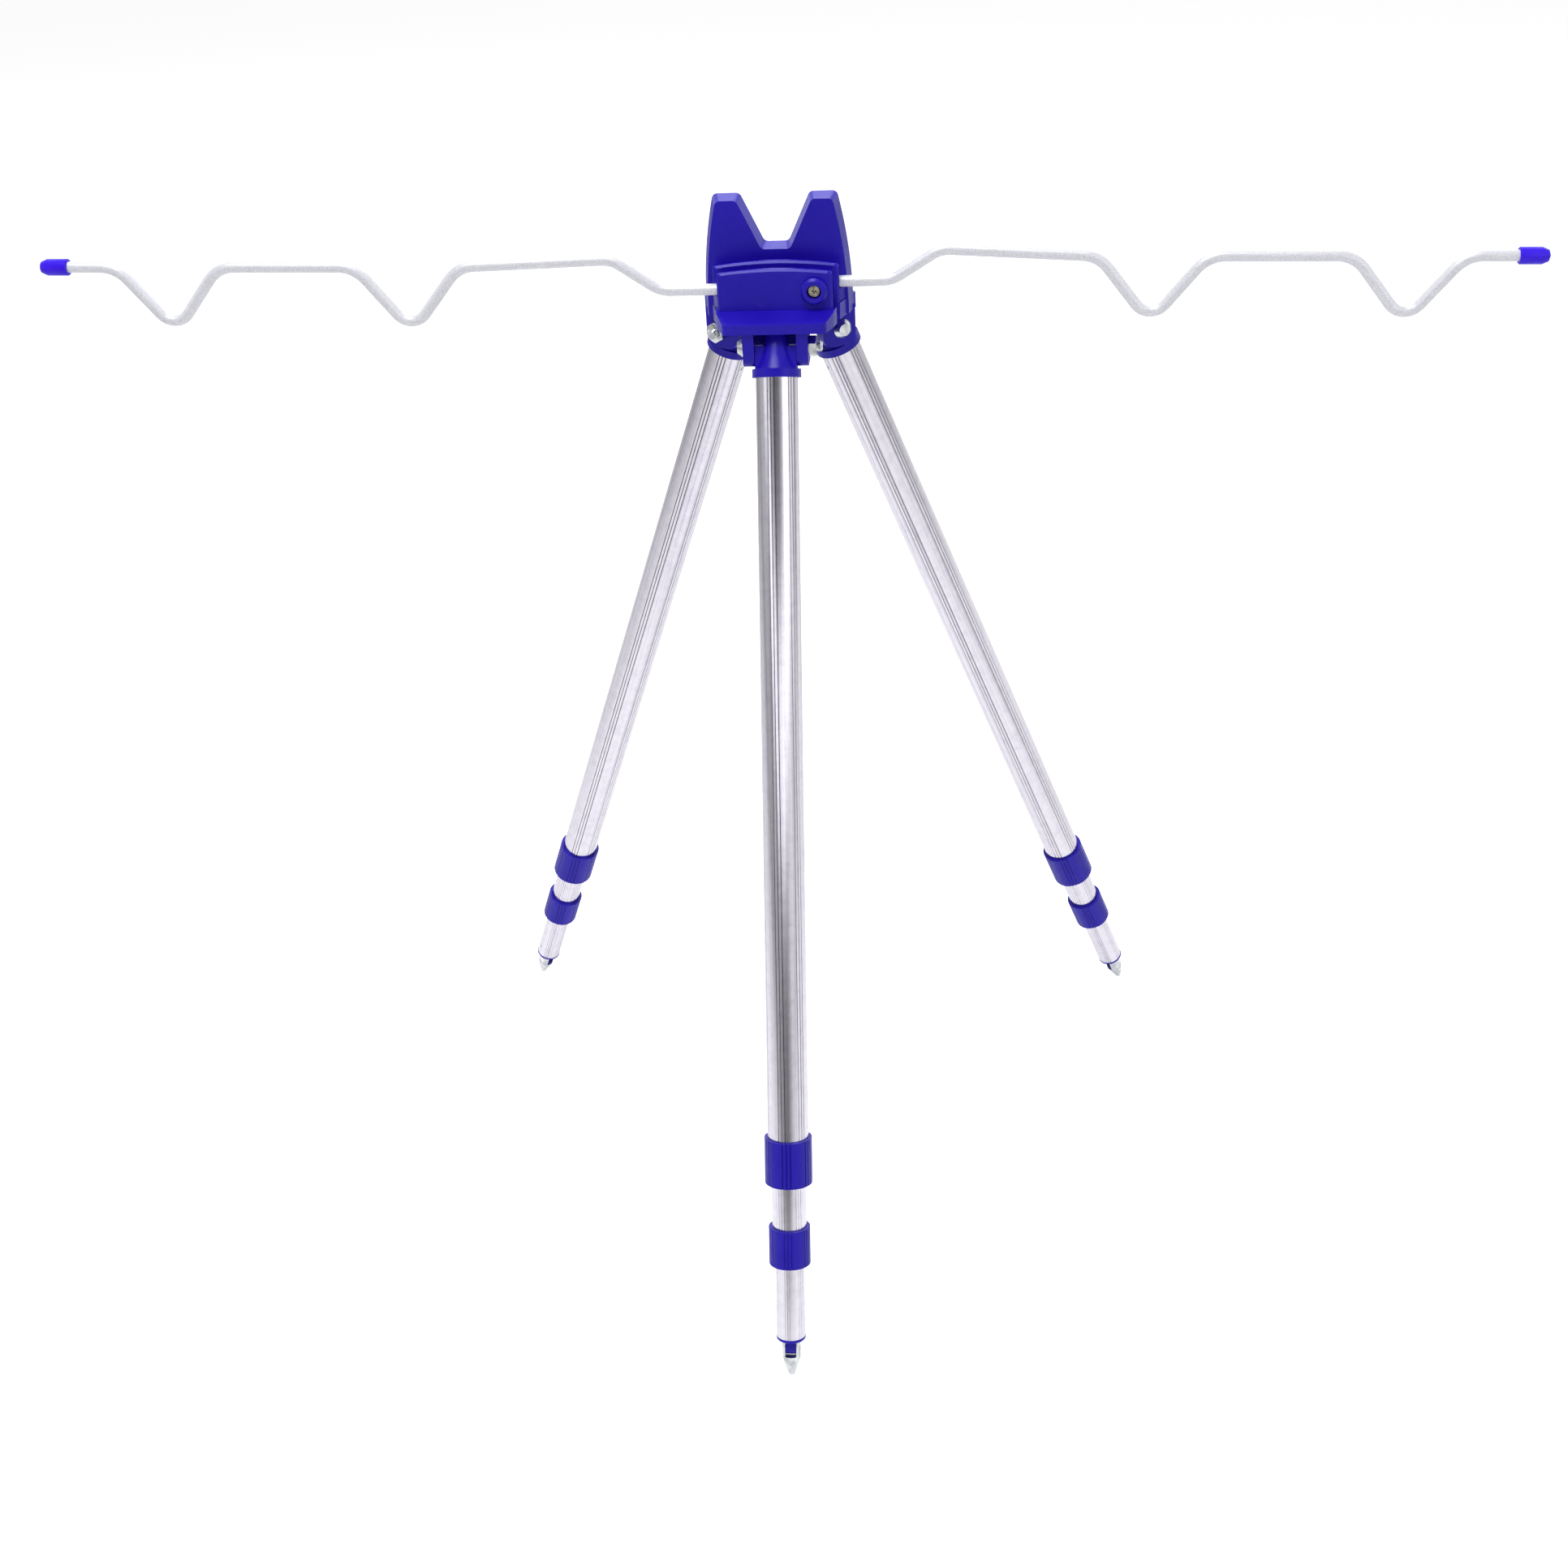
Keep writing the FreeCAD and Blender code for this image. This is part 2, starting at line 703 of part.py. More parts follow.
def leg_tubes():
    upper = tube("upper_tube", "upper_radius", FLANGE_END, UPPER_END, "upper_groove_turn")
    grip_end(upper, UPPER_END, "upper_radius", "mid_radius")
    mid = tube("mid_tube", "mid_radius", MID_TOP, MID_END, "mid_groove_turn")
    guide_bush(mid, MID_TOP, "upper_radius", "mid_radius")
    grip_end(mid, MID_END, "mid_radius", "lower_radius")
    lower = tube("lower_tube", "lower_radius", LOWER_TOP, "lower_tube_end", "lower_groove_turn")
    guide_bush(lower, LOWER_TOP, "mid_radius", "lower_radius")
    return {"upper_tube": upper, "mid_tube": mid, "lower_tube": lower}


def end_plug():
    body = turned("end_plug", [
        ("0", f"-{PLUG_END}"),
        ("plug_flange_radius - plug_chamfer", f"-{PLUG_END}"),
        ("plug_flange_radius", f"plug_chamfer - {PLUG_END}"),
        ("plug_flange_radius", "-lower_tube_end"),
        ("lower_radius - tube_wall", "-lower_tube_end"),
        ("lower_radius - tube_wall", "plug_spigot - lower_tube_end"),
        ("0", "plug_spigot - lower_tube_end"),
    ])
    side = new_sketch(body, "YZ_Plane")
    half = "tongue_width / 2"
    outline(side, [
        (f"-{half}", "-lower_tube_end"),
        (f"-{half}", f"-{PIN}", half),
        ("0", f"-{PIN} - {half}", half),
        (half, f"-{PIN}"),
        (half, "-lower_tube_end"),
    ])
    pad(body, side, "2 * tongue_half", Midplane=True)
    hole = new_sketch(body, "YZ_Plane")
    circle(hole, "0", f"-{PIN}", "pin_radius + pin_gap")
    pocket(body, hole, "4 * tongue_half", Midplane=True)
    return body


def spike():
    body = turned("spike", [
        ("0", f"-{TIP}"),
        ("spike_tip_radius", f"-{TIP}"),
        ("spike_radius", f"-{SPIKE_RIM} - spike_rim"),
        ("spike_radius", f"spike_ear_straight - {PIN}"),
        ("spike_radius - spike_ear_chamfer", f"spike_ear_top - {PIN}"),
        ("0", f"spike_ear_top - {PIN}"),
    ])
    side = new_sketch(body, "XZ_Plane")
    rectangle(side, "-tongue_half - spike_slot_gap", f"-{SPIKE_RIM}",
              "tongue_half + spike_slot_gap", "spike_radius - lower_tube_end")
    pocket(body, side, "4 * spike_radius", Midplane=True)
    hole = new_sketch(body, "YZ_Plane")
    circle(hole, "0", f"-{PIN}", "pin_radius")
    pocket(body, hole, "4 * spike_radius", Midplane=True)
    return body


def spike_pin():
    body = new_body("spike_pin")
    section = new_sketch(body, "YZ_Plane")
    circle(section, "0", f"-{PIN}", "pin_radius")
    pad(body, section, "2 * spike_radius", Midplane=True)
    return body


def arm_screw():
    return turned("arm_screw", [
        ("0", f"-screw_seat - {SLOT} - mid_wall_thick + screw_end_gap"),
        ("screw_radius", f"-screw_seat - {SLOT} - mid_wall_thick + screw_end_gap"),
        ("screw_radius", "0"),
        ("screw_head_radius", "0"),
        ("screw_head_radius", "screw_head_height - screw_head_bevel"),
        ("screw_head_radius - screw_head_bevel", "screw_head_height"),
        ("0", "screw_head_height"),
    ])


# The rod's centre line from the pivot outwards, as corners with the radius of each bend.
def arm_corners(lift):
    dips = []
    for reach in ("first_dip", "second_dip"):
        dips += [
            (f"{reach} - dip_half", "outer_crest", "crest_bend"),
            (reach, "outer_crest - dip_drop", "dip_bend"),
            (f"{reach} + dip_half", "outer_crest", "crest_bend"),
        ]
    corners = [
        ("-arm_pivot", "0", "0"),
        ("rise_start", "0", "rise_bend"),
        ("rise_end", "first_crest", "rise_bend"),
        *dips,
        ("rod_end", "outer_crest", "0"),
    ]
    hinge = FreeCAD.Vector(value("rise_start"), 0, 0)
    turn = FreeCAD.Placement(FreeCAD.Vector(), FreeCAD.Rotation(FreeCAD.Vector(0, -1, 0), value(lift)), hinge)
    points = [FreeCAD.Vector(value(reach), 0, value(rise)) for reach, rise, _ in corners]
    points = points[:2] + [turn.multVec(point) for point in points[2:]]
    return points, [value(bend) for _, _, bend in corners]


def bent_wire(points, bends):
    edges = []
    start = points[0]
    for before, corner, after, bend in zip(points, points[1:], points[2:], bends[1:]):
        inward = (before - corner).normalize()
        onward = (after - corner).normalize()
        half_turn = (inward.getAngle(onward)) / 2
        setback = bend / math.tan(half_turn)
        centre_way = (inward + onward).normalize()
        first = corner + inward * setback
        last = corner + onward * setback
        middle = corner + centre_way * (bend / math.sin(half_turn) - bend)
        edges.append(Part.LineSegment(start, first).toShape())
        edges.append(Part.Arc(first, middle, last).toShape())
        start = last
    edges.append(Part.LineSegment(start, points[-1]).toShape())
    return Part.Wire(edges)


def arm(side):
    points, bends = arm_corners(f"{side}_lift")
    radius = value("rod_radius")
    eye_radius = value("arm_eye_radius")
    sideways = FreeCAD.Vector(0, 1, 0)
    eye_start = points[0] - sideways * radius
    path = bent_wire(points, bends)
    section = Part.Wire(Part.makeCircle(radius, points[0], FreeCAD.Vector(1, 0, 0)))
    rod = path.makePipeShell([section], True, False)
    eye = Part.makeCylinder(eye_radius, 2 * radius, eye_start, sideways)
    hole = Part.makeCylinder(value("screw_radius + screw_gap"), 2 * radius, eye_start, sideways)
    feature = doc.addObject("Part::Feature", f"arm_{side}")
    feature.Label = f"arm_{side}"
    feature.Shape = rod.fuse(eye).cut(hole).removeSplitter()
    return feature, points[-1], points[-1] - points[-2]


def arm_cap():
    end = "(cap_length - cap_radius)"
    bore_radius = "(rod_radius + cap_bore_gap)"
    return turned("arm_cap", [
        (bore_radius, f"-{end}"),
        ("cap_radius - cap_lip", f"-{end}"),
        ("cap_radius", f"cap_lip - {end}"),
        ("cap_radius", "0"),
        ("cap_radius * cos(45)", "cap_radius * sin(45)"),
        ("0", "cap_radius"),
        ("0", "0"),
        (bore_radius, "0"),
    ])


def leg_pieces():
    return {
        "leg_cap": leg_cap(),
        **leg_tubes(),
        "upper_collar": collar("upper_collar", "upper_collar_radius", "upper_collar_length", UPPER_COLLAR_END,
                               "upper_radius", "mid_radius"),
        "lower_collar": collar("lower_collar", "lower_collar_radius", "lower_collar_length", LOWER_COLLAR_END,
                               "mid_radius", "lower_radius"),
        "end_plug": end_plug(),
        "spike": spike(),
        "spike_pin": spike_pin(),
    }


def move(across=0.0, back=0.0, up=0.0):
    return FreeCAD.Placement(FreeCAD.Vector(across, back, up), FreeCAD.Rotation())


def turn_about(axis, degrees):
    return FreeCAD.Placement(FreeCAD.Vector(), FreeCAD.Rotation(FreeCAD.Vector(*axis), degrees))


def place_legs(pieces):
    for side, turn in LEG_TURNS.items():
        on_hub = turn_about((0, 0, 1), turn) * move(back=-value("bolt_circle"))
        spread = on_hub * turn_about((1, 0, 0), -value("leg_tilt"))
        across_bolt = on_hub * turn_about((0, 1, 0), 90)
        for name, body in (("pivot_bolt", pivot_bolt()), ("pivot_nut", pivot_nut())):
            pieces[f"{name}_{side}"] = (body, across_bolt)
        for name, body in leg_pieces().items():
            pieces[f"{name}_{side}"] = (body, spread)


def place_arms(pieces):
    for side, hand in ARM_SIDES.items():
        facing = turn_about((0, 0, 1), 0 if side == "right" else 180)
        at_slot = move(back=-value(ARM_DEPTHS[side]), up=value("arm_height")) * facing
        rod, end, way = arm(side)
        pieces[f"arm_{side}"] = (rod, at_slot)
        along_rod = FreeCAD.Placement(end, FreeCAD.Rotation(FreeCAD.Vector(0, 0, 1), way))
        pieces[f"arm_cap_{side}"] = (arm_cap(), at_slot * along_rod)
    front_seat = value(f"{FRONT_BACK} + screw_seat")
    back_seat = value(f"screw_seat - {FORK_FRONT}")
    left_screw = move(value("arm_pivot"), -front_seat, value("arm_height")) * turn_about((1, 0, 0), 90)
    right_screw = move(-value("arm_pivot"), back_seat, value("arm_height")) * turn_about((1, 0, 0), -90)
    pieces["arm_screw_left"] = (arm_screw(), left_screw)
    pieces["arm_screw_right"] = (arm_screw(), right_screw)


# Puts every piece in its place, with the origin in the middle of the footprint.
def stand_on_ground(pieces):
    box = FreeCAD.BoundBox()
    for body, placement in pieces.values():
        body.Placement = placement
    doc.recompute()
    for body, _ in pieces.values():
        box.add(body.Shape.optimalBoundingBox())
    shift = move(-box.Center.x, -box.Center.y, -box.ZMin)
    for body, placement in pieces.values():
        body.Placement = shift * placement
    doc.recompute()
    across, back, up = shift.Base
    print(f"hub axis at {across:.3f}, {back:.3f}, leg bolts {up:.3f} above the ground")


def check(pieces):
    for item in doc.Objects:
        if "Invalid" in item.State or "Error" in item.State:
            raise ValueError(f"{item.Name} in {item.Label} failed: {item.State}")
    for name, (body, _) in pieces.items():
        if body.Shape.isNull() or not body.Shape.isValid() or len(body.Shape.Solids) != 1:
            raise ValueError(f"{name} is not one valid solid")


def main():
    fill_sheet()
    pieces = {"head_body": (head_body(), move())}
    place_legs(pieces)
    place_arms(pieces)
    stand_on_ground(pieces)
    check(pieces)
    os.makedirs("parts", exist_ok=True)
    for name, (body, _) in pieces.items():
        body.Label = name
        body.Shape.exportStep(f"parts/{name}.step")
    print(len(pieces), "pieces")


main()
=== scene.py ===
import json
import math

import bmesh
import bpy
from mathutils import Matrix, Vector

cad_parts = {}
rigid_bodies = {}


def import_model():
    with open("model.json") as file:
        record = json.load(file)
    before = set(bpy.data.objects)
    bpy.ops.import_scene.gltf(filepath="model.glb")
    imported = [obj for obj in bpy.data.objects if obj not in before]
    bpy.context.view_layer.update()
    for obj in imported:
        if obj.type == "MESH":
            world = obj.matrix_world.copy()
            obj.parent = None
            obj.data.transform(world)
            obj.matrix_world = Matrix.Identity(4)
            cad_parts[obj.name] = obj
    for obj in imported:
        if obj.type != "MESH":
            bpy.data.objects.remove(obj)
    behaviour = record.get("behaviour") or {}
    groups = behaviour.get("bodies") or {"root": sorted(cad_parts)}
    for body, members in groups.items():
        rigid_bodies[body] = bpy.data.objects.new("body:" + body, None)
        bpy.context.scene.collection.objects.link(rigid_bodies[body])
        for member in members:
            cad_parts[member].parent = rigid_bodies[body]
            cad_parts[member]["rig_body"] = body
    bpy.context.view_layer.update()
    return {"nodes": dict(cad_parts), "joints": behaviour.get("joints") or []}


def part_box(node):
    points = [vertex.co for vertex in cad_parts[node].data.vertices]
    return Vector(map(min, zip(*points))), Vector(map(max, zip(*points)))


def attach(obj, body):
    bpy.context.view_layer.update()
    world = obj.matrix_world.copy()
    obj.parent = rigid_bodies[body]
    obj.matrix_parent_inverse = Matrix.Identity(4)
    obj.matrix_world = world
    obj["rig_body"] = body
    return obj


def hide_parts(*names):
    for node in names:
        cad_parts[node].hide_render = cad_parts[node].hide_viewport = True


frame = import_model()
nodes = frame["nodes"]
sides = ("front", "right", "left")
armSides = ("left", "right")

millimetre = 0.001
legTilt = 22.0  # degrees from upright
legTurns = {"front": 0.0, "right": 120.0, "left": 240.0}  # degrees around the hub


def onlySelect(piece):
    bpy.ops.object.select_all(action="DESELECT")
    piece.select_set(True)
    bpy.context.view_layer.objects.active = piece


# From sRGB hex to the linear colour that shaders take.
def linear(code):
    channels = [int(code[i:i + 2], 16) / 255 for i in (1, 3, 5)]
    return [c / 12.92 if c <= 0.04045 else ((c + 0.055) / 1.055) ** 2.4 for c in channels] + [1.0]


def grey(level):
    return [level, level, level, 1.0]


# Adds a node, sets its sockets and properties, and links its inputs from (node, output) pairs.
def addNode(tree, kind, settings=None, links=None, **properties):
    node = tree.nodes.new(kind)
    for name, value in properties.items():
        setattr(node, name, value)
    for name, value in (settings or {}).items():
        node.inputs[name].default_value = value
    for name, (source, output) in (links or {}).items():
        tree.links.new(source.outputs[output], node.inputs[name])
    return node


def newMaterial(name):
    material = bpy.data.materials.new(name)
    material.use_nodes = True
    tree = material.node_tree
    tree.nodes.clear()
    output = tree.nodes.new("ShaderNodeOutputMaterial")
    return material, tree, output


def shadeWith(tree, output, settings, links):
    shader = addNode(tree, "ShaderNodeBsdfPrincipled", settings, links)
    tree.links.new(shader.outputs["BSDF"], output.inputs["Surface"])


def colourRamp(tree, factor, stops):
    ramp = addNode(tree, "ShaderNodeValToRGB", links={"Fac": factor})
    band = ramp.color_ramp
    while len(band.elements) < len(stops):
        band.elements.new(0.5)
    for element, (place, shade) in zip(band.elements, stops):
        element.position = place
        element.color = shade
    return ramp


# Runs from one colour to another between two shares of a value.
def blend(tree, factor, shares, first, second):
    return colourRamp(tree, factor, [(shares[0], linear(first)), (shares[1], linear(second))])


# Noise in the piece's own space, with grains of a given size in mm.
def grains(tree, place, size, **settings):
    return addNode(tree, "ShaderNodeTexNoise", {"Scale": 1 / (size * millimetre), **settings},
                   {"Vector": (place, "Object")})


# A value that follows a noise from one end of a range to the other.
def between(tree, noise, ends):
    return addNode(tree, "ShaderNodeMapRange", {"To Min": ends[0], "To Max": ends[1]},
                   {"Value": (noise, "Fac")})


# Raises the surface by a noise, with a depth in mm.
def relief(tree, noise, strength, depth):
    return addNode(tree, "ShaderNodeBump", {"Strength": strength, "Distance": depth * millimetre},
                   {"Height": (noise, "Fac")})


# Paints shade into a colour where the piece's grooves are: painted shade in the recesses, with a little
# dust.
def shadeGrooves(tree, tone, shade):
    mark = addNode(tree, "ShaderNodeAttribute", attribute_name="groove")
    return addNode(tree, "ShaderNodeMix", {"B": linear(shade)}, {"Factor": (mark, "Fac"), "A": tone},
                   data_type="RGBA")


mouldedBlue = {
    "base": "#1d0ba6",
    "worn": "#2415b2",
}

dippedBlue = {
    "base": "#3407e0",
    "worn": "#4a2cf2",
}

moulding = {
    "blush": 28.0,                # mm between the slow shifts of colour left by the flow of the plastic
    "wornShares": (0.35, 0.75),   # of the blush, where the base colour ends and the worn one is whole
    "shade": "#120a62",           # painted shade in the grooves
    "scuff": "#6f66d2",
    "scuffs": 5.0,                # mm between the pale scuffs, which cover little of the surface
    "scuffShares": (0.64, 0.78),  # of the noise, where scuffs start and where they are palest
    "scuffCover": 0.5,            # how much of the colour the palest hides
    "roughness": (0.28, 0.38),
    "ior": 1.49,
    "gloss": 0.24,                # specular level, low as on an unpolished moulding
    "skin": 0.9,                  # mm between the dimples of the moulded skin
    "skinRelief": 1.0,
    "skinDepth": 0.012,           # mm
}


# Injection moulded polypropylene: saturated, glossy, with a faint skin and slow shifts of tone.
def mouldedPlastic(name, colours):
    material, tree, output = newMaterial(name)
    place = addNode(tree, "ShaderNodeTexCoord")
    blush = grains(tree, place, moulding["blush"], Detail=3.0)
    rubs = grains(tree, place, moulding["scuffs"], Detail=8.0, Roughness=0.75, Distortion=1.5)
    skin = grains(tree, place, moulding["skin"], Detail=1.0)
    tone = blend(tree, (blush, "Fac"), moulding["wornShares"], colours["base"], colours["worn"])
    start, palest = moulding["scuffShares"]
    cover = colourRamp(tree, (rubs, "Fac"), [(start, grey(0.0)), (palest, grey(moulding["scuffCover"]))])
    scuffed = addNode(tree, "ShaderNodeMix", {"B": linear(moulding["scuff"])},
                      {"Factor": (cover, "Color"), "A": (tone, "Color")}, data_type="RGBA")
    shaded = shadeGrooves(tree, (scuffed, "Result"), moulding["shade"])
    shine = between(tree, blush, moulding["roughness"])
    bump = relief(tree, skin, moulding["skinRelief"], moulding["skinDepth"])
    shadeWith(tree, output, {"IOR": moulding["ior"], "Specular IOR Level": moulding["gloss"]},
              {"Base Color": (shaded, "Result"), "Roughness": (shine, "Result"), "Normal": (bump, "Normal")})
    return material


anodised = {
    "bright": "#dad7e0",
    "dull": "#c6c2cf",
    "dullShares": (0.1, 0.3),  # of lines times rubs, where the dull colour ends and the bright one is whole
    "shade": "#66646e",        # painted shade in the grooves
    "roughness": (0.2, 0.11),  # from the low to the high parts of the lines
    "line": 0.9,               # mm between drawing lines, coarser than real so that they show
    "run": 260.0,              # mm that a drawing line runs along the tube
    "lineRelief": 0.5,
    "lineDepth": 0.003,        # mm
    "scratch": 5.0,            # mm between the small rubs
}


# Extruded and bright anodised aluminium: fine drawing lines run along it, with small rubs.
def anodisedAluminium(side):
    material, tree, output = newMaterial(f"anodised aluminium {side}")
    place = addNode(tree, "ShaderNodeTexCoord")
    unturned = addNode(tree, "ShaderNodeMapping", {"Rotation": (0, 0, -math.radians(legTurns[side]))},
                       {"Vector": (place, "Object")}, vector_type="POINT")
    upright = addNode(tree, "ShaderNodeMapping", {"Rotation": (math.radians(legTilt), 0, 0)},
                      {"Vector": (unturned, "Vector")}, vector_type="POINT")
    across = 1 / (anodised["line"] * millimetre)
    along = 1 / (anodised["run"] * millimetre)
    lines = addNode(tree, "ShaderNodeMapping", {"Scale": (across, across, along)},
                    {"Vector": (upright, "Vector")})
    drawn = addNode(tree, "ShaderNodeTexNoise", {"Scale": 1.0, "Detail": 2.0}, {"Vector": (lines, "Vector")})
    rubs = grains(tree, place, anodised["scratch"], Detail=6.0, Roughness=0.7)
    mixed = addNode(tree, "ShaderNodeMath", links={0: (drawn, "Fac"), 1: (rubs, "Fac")},
                    operation="MULTIPLY")
    tone = blend(tree, (mixed, "Value"), anodised["dullShares"], anodised["dull"], anodised["bright"])
    shaded = shadeGrooves(tree, (tone, "Color"), anodised["shade"])
    shine = between(tree, drawn, anodised["roughness"])
    bump = relief(tree, drawn, anodised["lineRelief"], anodised["lineDepth"])
    shadeWith(tree, output, {"Metallic": 1.0},
              {"Base Color": (shaded, "Result"), "Roughness": (shine, "Result"), "Normal": (bump, "Normal")})
    return material


zinc = {
    "bright": "#e2e4e6",
    "dull": "#aeb1b5",
    "roughness": (0.16, 0.32),
    "mottle": 4.0,  # mm between its patches
}

nickel = {
    "bright": "#c9c2ae",
    "dull": "#6e6a60",
    "roughness": (0.2, 0.35),
    "mottle": 2.0,
}

plating = {
    "dullShares": (0.35, 0.7),  # of the mottle, where the dull colour ends and the bright one is whole
    "relief": 0.4,
    "depth": 0.03,              # mm
}


# A steel with a mottled plating: zinc on the bolts and spikes, nickel on the arm screws.
def platedSteel(name, metal):
    material, tree, output = newMaterial(name)
    place = addNode(tree, "ShaderNodeTexCoord")
    mottle = grains(tree, place, metal["mottle"], Detail=4.0)
    tone = blend(tree, (mottle, "Fac"), plating["dullShares"], metal["dull"], metal["bright"])
    shine = between(tree, mottle, metal["roughness"])
    bump = relief(tree, mottle, plating["relief"], plating["depth"])
    shadeWith(tree, output, {"Metallic": 1.0},
              {"Base Color": (tone, "Color"), "Roughness": (shine, "Result"), "Normal": (bump, "Normal")})
    return material


powder = {
    "base": "#e6e6ec",
    "speck": "#d0d0da",
    "speckShares": (0.35, 0.6),  # of the noise, where the specks end and the base colour is whole
    "grain": 0.6,                # mm between the specks
    "metallic": 0.25,
    "roughness": 0.4,
    "relief": 0.3,
    "depth": 0.02,               # mm
}


# Powder paint on the bent rods: pale silver, satin, with a fine speckle.
def silverPaint():
    material, tree, output = newMaterial("silver powder paint")
    place = addNode(tree, "ShaderNodeTexCoord")
    speckle = grains(tree, place, powder["grain"], Detail=2.0)
    tone = blend(tree, (speckle, "Fac"), powder["speckShares"], powder["speck"], powder["base"])
    bump = relief(tree, speckle, powder["relief"], powder["depth"])
    shadeWith(tree, output, {"Metallic": powder["metallic"], "Roughness": powder["roughness"]},
              {"Base Color": (tone, "Color"), "Normal": (bump, "Normal")})
    return material


smoothing = {
    "merge": 0.002,       # mm within which corners are joined
    "spinMerge": 0.0001,  # mm, the same for a turned solid
    "flat": 0.6,          # degrees within which neighbouring faces become one
    "sharp": 30.0,        # degrees from which an edge stays sharp
    "threadSharp": 20.0,
    "bevelSegments": 2,
    "spinSteps": 64,
}

brokenEdges = {  # mm, how wide the sharp edges of each kind of piece are broken
    "head_body": 0.35,
    "leg_cap": 0.3,
    "end_plug": 0.2,
    "upper_collar": 0.22,
    "lower_collar": 0.22,
    "arm_cap": 0.1,
    "arm_screw": 0.12,
    "pivot_bolt": 0.15,
    "pivot_nut": 0.08,
    "spike": 0.1,
    "spike_pin": 0.1,
}


# A copy of a CAD node, with its loose triangles joined and its own smoothing cleared.
def copyNode(node):
    piece = bpy.data.objects.new(f"{node}_finish", nodes[node].data.copy())
    bpy.context.scene.collection.objects.link(piece)
    onlySelect(piece)
    bpy.ops.mesh.customdata_custom_splitnormals_clear()
    bpy.ops.object.mode_set(mode="EDIT")
    bpy.ops.mesh.select_all(action="SELECT")
    bpy.ops.mesh.remove_doubles(threshold=smoothing["merge"] * millimetre)
    bpy.ops.mesh.dissolve_limited(angle_limit=math.radians(smoothing["flat"]))
    bpy.ops.object.mode_set(mode="OBJECT")
    return piece


# The kind of piece that a node is: its name without the side.
def kindOf(node):
    kind, _, last = node.rpartition("_")
    return kind if last in sides else node


# Shades the piece smooth, breaks its sharp edges, and puts it in its node's stead.
def finishNode(piece, node, material):
    onlySelect(piece)
    sharp = math.radians(smoothing["sharp"])
    bpy.ops.object.shade_smooth_by_angle(angle=sharp)
    if kindOf(node) in brokenEdges:
        bpy.ops.object.modifier_add(type="BEVEL")
        bevel = piece.modifiers[-1]
        bevel.width = brokenEdges[kindOf(node)] * millimetre
        bevel.segments = smoothing["bevelSegments"]
        bevel.limit_method = "ANGLE"
        bevel.angle_limit = sharp
        bevel.harden_normals = True
        bpy.ops.object.modifier_apply(modifier=bevel.name)
    piece.data.materials.clear()
    piece.data.materials.append(material)
    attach(piece, nodes[node]["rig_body"])
    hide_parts(node)


def dressNode(node, material):
    piece = copyNode(node)
    finishNode(piece, node, material)
    return piece


def booleanWith(piece, cutter, operation):
    onlySelect(piece)
    bpy.ops.object.modifier_add(type="BOOLEAN")
    boolean = piece.modifiers[-1]
    boolean.operation = operation
    boolean.solver = "EXACT"
    boolean.object = cutter
    bpy.ops.object.modifier_apply(modifier=boolean.name)
    bpy.data.objects.remove(cutter, do_unlink=True)


def jointNamed(name):
    return next(joint for joint in frame["joints"] if joint["name"] == name)


# Where a leg's bolt lies, the way that it points, and the way down the leg.
def legAxes(side):
    fold = jointNamed(f"leg_{side}_fold")
    slide = jointNamed(f"mid_leg_{side}_slide")
    return Vector(fold["pos_m"]), Vector(fold["axis"]).normalized(), Vector(slide["axis"]).normalized()


# How far a node reaches along a way from a point, from its nearest end to its far end.
def span(node, origin, way):
    reach = [(vertex.co - origin).dot(way) for vertex in nodes[node].data.vertices]
    return min(reach), max(reach)


def newMesh(name, shape):
    mesh = bpy.data.meshes.new(name)
    shape.to_mesh(mesh)
    shape.free()
    piece = bpy.data.objects.new(name, mesh)
    bpy.context.scene.collection.objects.link(piece)
    return piece


def standingOn(origin, way):
    return Matrix.Translation(origin) @ way.to_track_quat("Z", "Y").to_matrix().to_4x4()


# A solid turned about an axis, from pairs of radius and distance along it.
def turnedSolid(name, profile, origin, way):
    shape = bmesh.new()
    corners = [shape.verts.new((radius, 0, along)) for radius, along in profile]
    edges = [shape.edges.new(pair) for pair in zip(corners, corners[1:])]
    bmesh.ops.spin(shape, geom=corners + edges, axis=(0, 0, 1), cent=(0, 0, 0), angle=2 * math.pi,
                   steps=smoothing["spinSteps"])
    bmesh.ops.remove_doubles(shape, verts=shape.verts, dist=smoothing["spinMerge"] * millimetre)
    bmesh.ops.recalc_face_normals(shape, faces=shape.faces)
    shape.transform(standingOn(origin, way))
    return newMesh(name, shape)


grooveMarks = {
    "tube": 0.3,                # mm deep
    "collar": 0.45,
    "floorShares": (0.6, 1.2),  # of the depth, between which a corner lies on a groove's floor
    "floor": 1.0,               # share of the painted shade that a floor takes
    "edge": 0.45,               # and a corner beside it
}


# Marks the floors of a leg piece's grooves fully, and the edges beside them in part, for the painted shade.
def markGrooves(piece, side, depth):
    origin, _, down = legAxes(side)
    shallow, deep = grooveMarks["floorShares"]
    across = [(vertex.co - origin).cross(down).length for vertex in piece.data.vertices]
    below = [(max(across) - out) / (depth * millimetre) for out in across]
    floors = {number for number, share in enumerate(below) if shallow < share < deep}
    mark = piece.data.attributes.new("groove", "FLOAT", "POINT")
    for edge in piece.data.edges:
        if floors.intersection(edge.vertices):
            for number in edge.vertices:
                mark.data[number].value = grooveMarks["floor"] if number in floors else grooveMarks["edge"]


